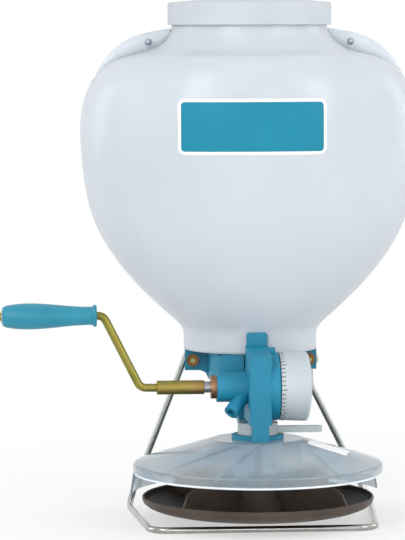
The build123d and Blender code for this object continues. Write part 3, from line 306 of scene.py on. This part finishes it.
def bolt_end(name):
    """Yellow zinc in the middle of each stand bolt, browned around it."""
    finish = metal(name, BROWN_STOPS, 0.32, 0.46, cloud=160.0)
    offset = finish.vector("SUBTRACT", finish.vector("ABSOLUTE", finish.coordinates), (BOLT_X, 0, BOLT_Z))
    flat = finish.vector("MULTIPLY", offset, (1 / BOLT_RING_R, 0, 1 / BOLT_RING_R))
    rings = [
        (0.0, srgb(146, 148, 108)),
        (0.42, srgb(156, 154, 106)),
        (0.54, srgb(72, 56, 40)),
        (0.66, srgb(132, 98, 60)),
        (1.0, srgb(104, 74, 46)),
    ]
    return finish.link(finish.ramp(finish.vector("LENGTH", flat, output="Value"), rings), "Base Color")


BOLT_HEAD = bolt_end("bolt_head_zinc")

HOPPER = plastic("hopper_polyethylene", srgb(228, 235, 242), srgb(236, 242, 248), 0.34, 0.46, cloud=7.0)
HOPPER.set(Transmission_Weight=0.42, IOR=1.4, Coat_Weight=0.25, Coat_Roughness=0.12)
COVER = plastic("cover_polypropylene", srgb(186, 206, 220), srgb(222, 227, 230), 0.10, 0.17, cloud=15.0)
COVER.set(Transmission_Weight=0.74, IOR=1.20)


def add_piece(name, verts, faces, finish, body, smooth=True):
    mesh = bpy.data.meshes.new(name)
    mesh.from_pydata([tuple(v) for v in verts], [], faces)
    mesh.validate()
    piece = bpy.data.objects.new(name, mesh)
    bpy.context.scene.collection.objects.link(piece)
    mesh.materials.append(finish.material)
    bm = bmesh.new()
    bm.from_mesh(mesh)
    bmesh.ops.recalc_face_normals(bm, faces=bm.faces)
    bm.to_mesh(mesh)
    bm.free()
    if smooth:
        mesh.polygons.foreach_set("use_smooth", [True] * len(mesh.polygons))
    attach(piece, body)
    return piece


def smooth_curve(points, count):
    """Evenly spaced points on the natural cubic spline through the given points."""
    knots = np.array(points, float)
    steps = np.linalg.norm(np.diff(knots, axis=0), axis=1)
    places = np.concatenate([[0], np.cumsum(steps)])
    matrix = np.eye(len(knots))
    right = np.zeros_like(knots)
    for i in range(1, len(knots) - 1):
        matrix[i, i - 1:i + 2] = steps[i - 1], 2 * (steps[i - 1] + steps[i]), steps[i]
        right[i] = 6 * ((knots[i + 1] - knots[i]) / steps[i] - (knots[i] - knots[i - 1]) / steps[i - 1])
    bend = np.linalg.solve(matrix, right)
    curve = []
    for place in np.linspace(0, places[-1], count):
        i = min(int(np.searchsorted(places, place, side="right")) - 1, len(steps) - 1)
        step = steps[i]
        a = (places[i + 1] - place) / step
        b = (place - places[i]) / step
        straight = a * knots[i] + b * knots[i + 1]
        curve.append(straight + ((a ** 3 - a) * bend[i] + (b ** 3 - b) * bend[i + 1]) * step * step / 6)
    return curve


# Hopper: the CAD body's own section rule on a fine grid, with rounded rims and a mould seam
def hopper_profile():
    swell = HALF_WIDTH - NECK_R
    rise = WIDEST_Z - NECK_TOP
    taper = HALF_WIDTH - MOUTH_R
    drop = DECK_Z - WIDEST_Z
    points = [(NECK_R, NECK_TOP)]
    points += [(NECK_R + swell * out, NECK_TOP + rise * up) for out, up in BELLY]
    points.append((HALF_WIDTH, WIDEST_Z))
    points += [(MOUTH_R + taper * out, DECK_Z - drop * down) for out, down in SHOULDER]
    points.append((MOUTH_R, DECK_Z))
    body = smooth_curve(points, BODY_STEPS)
    neck = [(NECK_R, z) for z in np.linspace(NECK_BOTTOM, NECK_TOP, NECK_STEPS)[:-1]]
    mouth = [(MOUTH_R, z) for z in np.linspace(DECK_Z, MOUTH_TOP, MOUTH_STEPS)[1:]]
    profile = np.array(neck + [tuple(p) for p in body] + mouth)
    for _ in range(SMOOTHING):
        middle = (profile[:-2] + profile[2:]) / 2
        profile[1:-1] = (profile[1:-1] + middle) / 2
    return profile


PROFILE = hopper_profile()


def hopper_depths(half_width, z):
    end_r = NECK_R if z < WIDEST_Z else MOUTH_R
    share = max(0.0, (half_width - end_r) / (HALF_WIDTH - end_r))
    front = end_r + share * (FRONT - end_r)
    rear = end_r + share * (REAR - end_r)
    return front, rear, share


def hopper_point(half_width, z, angle, inset):
    front, rear, share = hopper_depths(half_width, z)
    c, s = cos(angle), sin(angle)
    if s > 0:
        depth = rear * (1 - share * REAR_HOLLOW * exp(-((c / HOLLOW_SPREAD) ** 2)))
    else:
        depth = front * (1 - share * LOBE_VALLEY * exp(-(((abs(c) - VALLEY_AT) / VALLEY_SPREAD) ** 2)))
    seam = SEAM_RISE * exp(-((s * depth / SEAM_HALF) ** 2)) if inset == 0 else 0.0
    return Vector((c * (half_width - inset + seam), NECK_Y + s * (depth - inset), z))


def hopper_angles():
    """Even steps around the hopper, with closer ones at the mould seam on each side."""
    angles = [2 * pi * i / AROUND_STEPS for i in range(AROUND_STEPS)]
    for side in (0, pi):
        for offset in SEAM_OFFSETS:
            angles += [(side + radians(offset)) % (2 * pi), (side - radians(offset)) % (2 * pi)]
    return sorted(angles)


def profile_width(z):
    return float(np.interp(z, PROFILE[:, 1], PROFILE[:, 0]))


def strap_tab_rows(side):
    """Cross sections of one crescent tab, from the mouth outwards."""
    edge = smooth_curve(
        [
            (MOUTH_R - WALL, STRAP_Z + TAB_RISE),
            (STRAP_X, STRAP_Z + TAB_RISE * 0.72),
            (STRAP_X + TAB_REACH * 0.37, STRAP_Z + TAB_DROP * 0.05),
            (STRAP_X + TAB_REACH * 0.75, STRAP_Z - TAB_DROP * 0.40),
            (STRAP_X + TAB_REACH, STRAP_Z - TAB_DROP),
        ],
        TAB_STEPS,
    )
    top = int(np.argmin(abs(PROFILE[:, 1] - (STRAP_Z + TAB_RISE))))
    low = int(np.argmin(abs(PROFILE[:, 1] - (STRAP_Z - TAB_DROP))))
    root = smooth_curve(PROFILE[low:top + 1][::-1], len(edge))
    half = TAB_THICKNESS / 2
    rows = []
    for (x, z), (root_x, root_z) in zip(edge, root):
        out = Vector((x, z))
        reach = out - Vector((root_x, root_z))
        sunk = Vector((root_x, root_z)) - reach.normalized() * TAB_SINK
        width = (out - sunk).length
        curl = min(TAB_ROUND, width / 2) / width
        row = []
        front = [(0, 1), (1 - curl, 1), (1 - curl * 0.3, 0.75), (1, 0.3)]
        rear = [(share, -depth) for share, depth in reversed(front)]
        for share, depth in front + rear:
            spot = sunk.lerp(out, share)
            row.append(Vector((side * spot.x, NECK_Y + depth * half, spot.y)))
        rows.append(row)
    return rows


def grid_faces(first, rows, columns, closed):
    faces = []
    for row in range(rows - 1):
        for i in range(columns if closed else columns - 1):
            j = (i + 1) % columns
            low = first + row * columns
            faces.append((low + i, low + j, low + columns + j, low + columns + i))
    return faces


def build_hopper():
    angles = hopper_angles()
    count = len(angles)
    rows = [(half_width, z, 0.0) for half_width, z in PROFILE]
    rows.append((PROFILE[-1][0], PROFILE[-1][1], WALL * 0.5))
    rows += [(half_width, z, WALL) for half_width, z in PROFILE[::-1]]
    verts = [hopper_point(half_width, z, angle, inset) for half_width, z, inset in rows for angle in angles]
    faces = grid_faces(0, len(rows), count, True)
    last = (len(rows) - 1) * count
    faces += [(last + i, last + (i + 1) % count, (i + 1) % count, i) for i in range(count)]
    for side in (1, -1):
        tab = strap_tab_rows(side)
        faces += grid_faces(len(verts), len(tab), len(tab[0]), True)
        verts += [vert for row in tab for vert in row]
    hopper = add_piece("hopper", verts, faces, HOPPER, "frame")
    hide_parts("hopper_shell")


# Thin films laid on a surface: rounded panels with a rim
def panel_grid(width, height, corner, columns=64, rows=40):
    spots = []
    for row in range(rows):
        v = -cos(pi * row / (rows - 1)) * height / 2
        past = max(0.0, abs(v) - (height / 2 - corner))
        half = width / 2 - corner + sqrt(max(0.0, corner ** 2 - past ** 2))
        spots.append([(-half + 2 * half * i / (columns - 1), v) for i in range(columns)])
    return spots


def add_film(name, spots, place, lift, finish, body):
    """A film whose spots are mapped by place(u, v, height) onto the surface below it."""
    rows, columns = len(spots), len(spots[0])
    verts = [place(u, v, lift) for row in spots for u, v in row]
    verts += [place(u, v, -FILM) for row in spots for u, v in row]
    faces = grid_faces(0, rows, columns, False)
    under = rows * columns
    faces += [tuple(under + i for i in reversed(face)) for face in faces]
    rim = list(range(columns))
    rim += [row * columns + columns - 1 for row in range(1, rows)]
    rim += [(rows - 1) * columns + i for i in range(columns - 2, -1, -1)]
    rim += [row * columns for row in range(rows - 2, 0, -1)]
    faces += [(a, b, under + b, under + a) for a, b in zip(rim, rim[1:] + rim[:1])]
    return add_piece(name, verts, faces, finish, body)


def on_hopper_front(u, v, lift):
    x, z = LABEL_X + u, LABEL_Z + v
    half_width = profile_width(z)
    spot = hopper_point(half_width, z, -acos(x / half_width), 0.0)
    return Vector((x, spot.y - lift, z))


def build_label():
    border = 2 * LABEL_BORDER
    paper = panel_grid(LABEL_WIDTH + border, LABEL_HEIGHT + border, LABEL_CORNER + LABEL_BORDER)
    add_film("label_paper", paper, on_hopper_front, FILM, PAPER, "frame")
    panel = panel_grid(LABEL_WIDTH, LABEL_HEIGHT, LABEL_CORNER)
    add_film("label_panel", panel, on_hopper_front, 2 * FILM, LABEL, "frame")


def on_cover_cone(u, v, lift):
    slope = (COVER_TOP - COVER_RIM_Z) / (COVER_SHOULDER_R - COVER_FLAT_R)
    along = Vector((cos(STICKER_ANGLE), sin(STICKER_ANGLE)))
    across = Vector((-along.y, along.x))
    spot = along * (STICKER_R + u) + across * v
    return Vector((spot.x, spot.y, COVER_TOP - (spot.length - COVER_FLAT_R) * slope + lift))


def build_sticker():
    spots = panel_grid(STICKER_LENGTH, STICKER_WIDTH, STICKER_CORNER, 32, 24)
    add_film("cover_sticker", spots, on_cover_cone, FILM, PAPER, "frame")


def build_lip():
    """The cover's rolled lip, from one end of the rear guard round the front to the other, in a near-white
    finish that paints a bright highlight along the rim.
    """
    verts = []
    for i in range(LIP_STEPS):
        turn = LIP_START + (LIP_END - LIP_START) * i / (LIP_STEPS - 1)
        taper = min(1.0, LIP_TIP + min(i, LIP_STEPS - 1 - i) / LIP_TIP_STEPS)
        for k in range(LIP_SIDES):
            around = 2 * pi * k / LIP_SIDES
            r = LIP_R + LIP_BEAD_R * taper * cos(around)
            verts.append((r * cos(turn), r * sin(turn), LIP_Z + LIP_BEAD_R * taper * sin(around)))
    faces = grid_faces(0, LIP_STEPS, LIP_SIDES, True)
    faces.append(tuple(range(LIP_SIDES)))
    faces.append(tuple(range((LIP_STEPS - 1) * LIP_SIDES, LIP_STEPS * LIP_SIDES)))
    add_piece("cover_lip", verts, faces, LIP_AND_HIGHLIGHT, "frame")


# Scale of the flow dial: raised ticks around its edge
def on_dial(x, angle, lift):
    radius = DIAL_R - DIAL_TAPER * (DIAL_RIM_X - x) / (DIAL_RIM_X - DIAL_START_X) + lift
    return Vector((x, -radius * sin(angle), AXIS_Z + radius * cos(angle)))


def build_ticks():
    verts, faces = [], []
    for i in range(DIAL_TICKS):
        middle = 2 * pi * i / DIAL_TICKS
        half = TICK_HALF / DIAL_R
        end = DIAL_START_X + (LONG_TICK if i % LONG_TICK_EVERY == 0 else TICK_LENGTH)
        first = len(verts)
        for lift in (-TICK_RISE, TICK_RISE):
            for x, angle in ((DIAL_START_X, -half), (end, -half), (end, half), (DIAL_START_X, half)):
                verts.append(on_dial(x, middle + angle, lift))
        for quad in ((4, 5, 6, 7), (3, 2, 1, 0), (0, 1, 5, 4), (1, 2, 6, 5), (2, 3, 7, 6), (3, 0, 4, 7)):
            faces.append(tuple(first + k for k in quad))
    add_piece("dial_ticks", verts, faces, INK, "dial", smooth=False)


# Moulded edges: the CAD pieces' sharp corners are rounded
def soften(node, width):
    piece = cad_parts[node]
    merge = piece.modifiers.new("merge", "DECIMATE")
    merge.decimate_type = "DISSOLVE"
    merge.angle_limit = FLAT_ANGLE
    bevel = piece.modifiers.new("soften", "BEVEL")
    bevel.width = width
    bevel.segments = BEVEL_STEPS
    bevel.limit_method = "ANGLE"
    bevel.angle_limit = CORNER_ANGLE
    bevel.harden_normals = True


build_hopper()
build_label()
build_sticker()
build_lip()
build_ticks()


# Camera
def add_camera():
    data = bpy.data.cameras.new("camera")
    data.sensor_fit = "VERTICAL"
    data.sensor_height = SENSOR
    data.lens = SENSOR * FOCAL_PIXELS / PHOTO_HEIGHT
    data.clip_end = CLIP_END
    camera = bpy.data.objects.new("camera", data)
    bpy.context.scene.collection.objects.link(camera)
    turn = (CAMERA_TO - CAMERA_AT).to_track_quat("-Z", "Y").to_matrix().to_4x4()
    camera.matrix_world = Matrix.Translation(CAMERA_AT) @ turn @ Matrix.Rotation(CAMERA_ROLL, 4, "Z")
    bpy.context.scene.camera = camera


# Floor, world and lamps
def seen_directly(tree):
    """A socket that is 1 for rays that show the background as it is."""
    path = tree.nodes.new("ShaderNodeLightPath")
    first = tree.nodes.new("ShaderNodeMath")
    first.operation = "MAXIMUM"
    tree.links.new(path.outputs["Is Camera Ray"], first.inputs[0])
    tree.links.new(path.outputs["Is Glossy Ray"], first.inputs[1])
    second = tree.nodes.new("ShaderNodeMath")
    second.operation = "MAXIMUM"
    tree.links.new(first.outputs["Value"], second.inputs[0])
    tree.links.new(path.outputs["Is Transmission Ray"], second.inputs[1])
    return second.outputs["Value"]


def add_world(strength):
    world = bpy.data.worlds.new("studio")
    bpy.context.scene.world = world
    world.use_nodes = True
    tree = world.node_tree
    background = tree.nodes["Background"]
    background.inputs["Color"].default_value = (1.0, 1.0, 1.0, 1.0)
    level = tree.nodes.new("ShaderNodeMapRange")
    level.inputs["To Min"].default_value = strength
    level.inputs["To Max"].default_value = 1.0
    tree.links.new(seen_directly(tree), level.inputs["Value"])
    tree.links.new(level.outputs["Result"], background.inputs["Strength"])


def add_floor():
    mesh = bpy.data.meshes.new("floor")
    corners = [(x * FLOOR_HALF, y * FLOOR_HALF, 0) for x, y in ((-1, -1), (1, -1), (1, 1), (-1, 1))]
    mesh.from_pydata(corners, [], [(0, 1, 2, 3)])
    floor = bpy.data.objects.new("floor", mesh)
    bpy.context.scene.collection.objects.link(floor)
    material = bpy.data.materials.new("floor_paper")
    material.use_nodes = True
    tree = material.node_tree
    tree.nodes.remove(tree.nodes["Principled BSDF"])
    diffuse = tree.nodes.new("ShaderNodeBsdfDiffuse")
    diffuse.inputs["Color"].default_value = (FLOOR_GREY, FLOOR_GREY, FLOOR_GREY, 1.0)
    glow = tree.nodes.new("ShaderNodeEmission")
    mix = tree.nodes.new("ShaderNodeMixShader")
    length = tree.nodes.new("ShaderNodeVectorMath")
    length.operation = "LENGTH"
    tree.links.new(tree.nodes.new("ShaderNodeTexCoord").outputs["Object"], length.inputs[0])
    fade = tree.nodes.new("ShaderNodeMapRange")
    fade.inputs["From Min"].default_value = SHADOW_NEAR
    fade.inputs["From Max"].default_value = SHADOW_FAR
    fade.inputs["To Min"].default_value = SHADOW_GLOW
    fade.inputs["To Max"].default_value = 1.0
    tree.links.new(length.outputs["Value"], fade.inputs["Value"])
    share = tree.nodes.new("ShaderNodeMath")
    share.operation = "MULTIPLY"
    tree.links.new(fade.outputs["Result"], share.inputs[0])
    tree.links.new(seen_directly(tree), share.inputs[1])
    tree.links.new(share.outputs["Value"], mix.inputs["Fac"])
    tree.links.new(diffuse.outputs["BSDF"], mix.inputs[1])
    tree.links.new(glow.outputs["Emission"], mix.inputs[2])
    tree.links.new(mix.outputs["Shader"], tree.nodes["Material Output"].inputs["Surface"])
    mesh.materials.append(material)


def add_lamp(name, place, target, size, power):
    data = bpy.data.lights.new(name, "AREA")
    data.shape = "RECTANGLE"
    data.size, data.size_y = size
    data.energy = power
    lamp = bpy.data.objects.new(name, data)
    bpy.context.scene.collection.objects.link(lamp)
    turn = (Vector(target) - Vector(place)).to_track_quat("-Z", "Y").to_matrix().to_4x4()
    lamp.matrix_world = Matrix.Translation(Vector(place)) @ turn


def add_studio():
    bpy.context.scene.view_settings.view_transform = "Standard"
    add_world(WORLD_LEVEL)
    add_floor()
    for name, (place, target, size, power) in LAMPS.items():
        add_lamp(name, place, target, size, power)


# Finishes of the CAD pieces
NODE_FINISH = {
    "hopper_shell": HOPPER, "hopper_lid": LID, "strap_studs": STUD, "hopper_base": TEAL, "gear_case": TEAL,
    "case_cover": TEAL, "case_cover_screws": WIRE, "case_mount_screws": WIRE, "drive_gear": ACETAL,
    "gear_pin": STEEL, "spinner_pinion": ACETAL, "agitator_pinion": ACETAL, "agitator_shaft": STEEL,
    "agitator_bush": BRONZE, "agitator_paddle": ACETAL, "flow_dial": DIAL, "dial_washer": WIRE,
    "dial_screw": WIRE, "crank_shaft": STEEL, "crank_bush": BRONZE, "crank_sleeve": ZINC, "crank_rod": ZINC,
    "crank_pins": STEEL, "crank_grip": GRIP, "grip_push_nut": WIRE, "lower_flange": TEAL,
    "spinner_bushes": BRONZE, "shutter": NATURAL, "spinner_shaft": STEEL, "spinner_disc": BLACK,
    "spinner_pin": STEEL, "spinner_nut": WIRE, "spinner_clip": STEEL, "spinner_cover": COVER,
    "cover_screws": WIRE, "stand_wire": WIRE, "stand_bolts": BOLT_HEAD, "stand_nuts": BOLT,
    "stand_washers": BOLT,
}
for node, finish in NODE_FINISH.items():
    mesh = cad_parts[node].data
    mesh.materials.clear()
    mesh.materials.append(finish.material)

for node, width in BEVELS.items():
    soften(node, width)

add_camera()
add_studio()
